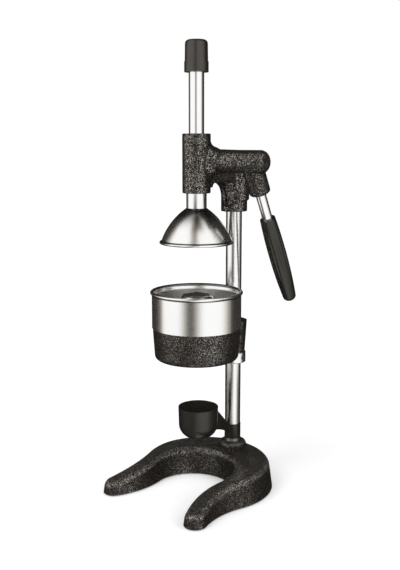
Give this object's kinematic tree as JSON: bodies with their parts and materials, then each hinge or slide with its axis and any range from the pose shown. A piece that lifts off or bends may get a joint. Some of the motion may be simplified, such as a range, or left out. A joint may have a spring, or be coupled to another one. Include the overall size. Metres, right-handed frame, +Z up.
{
  "type": "lever fruit press",
  "caption": "Lever fruit press: horseshoe cast base, round post, rack-and-pinion ram with a bell, bowl with a pressing cone, and a drip cup that swings on the post.",
  "frame": {"origin": "centre of the base's footprint, on the table", "axes": "+Z up, -Y towards the front where the legs open, +X towards the lever"},
  "size_m": [0.1727, 0.1965, 0.5433],
  "materials": {
    "hammertone": "black hammertone enamel",
    "chrome": "polished",
    "polished_steel": "polished",
    "plain_steel": "machined",
    "bronze": "machined",
    "black_rubber": "matt",
    "black_plastic": "satin"
  },
  "bodies": {
    "stand": {"base": "hammertone", "rubber_feet": "black_rubber", "post": "chrome", "post_bolt": "plain_steel", "post_washer": "plain_steel", "base_ring": "chrome", "cup_holder": "hammertone", "holder_set_screw": "plain_steel", "clamp_collar": "chrome", "clamp_screw": "plain_steel", "head": "hammertone", "head_set_screws": "plain_steel", "ram_bushes": "bronze", "pinion_bushes": "bronze", "housing_plug": "hammertone"},
    "lever": {"pinion_gear": "plain_steel", "gear_key": "plain_steel", "pinion_shaft": "plain_steel", "lever_hub": "hammertone", "lever_rod": "chrome", "lever_grip": "black_plastic"},
    "ram": {"ram_rod": "chrome", "top_cap": "black_rubber", "press_neck": "chrome", "press_dome": "polished_steel", "dome_washer": "plain_steel", "dome_nut": "plain_steel"},
    "drip": {"drip_cup": "black_plastic"},
    "bowl": {"juice_bowl": "polished_steel", "strainer_cone": "polished_steel"}
  },
  "joints": [
    {"name": "lever_swing", "type": "hinge", "parent": "stand", "child": "lever", "pos_m": [0, 0.014, 0.4057], "axis": [1, 0, 0], "range_deg": [0, 304.9]},
    {"name": "ram_slide", "type": "slide", "parent": "stand", "child": "ram", "axis": [0, 0, -1], "range_m": [0, 0.0692]},
    {"name": "drip_cup_swing", "type": "hinge", "parent": "stand", "child": "drip", "pos_m": [0, 0.065, 0.059], "axis": [0, 0, 1], "continuous": true},
    {"name": "bowl_lift", "type": "slide", "parent": "stand", "child": "bowl", "axis": [0, 0, 1], "range_m": [0, 0.02]}
  ],
  "couplings": [
    {"joint": "ram_slide", "follows": "lever_swing", "m_per_rad": 0.013}
  ]
}
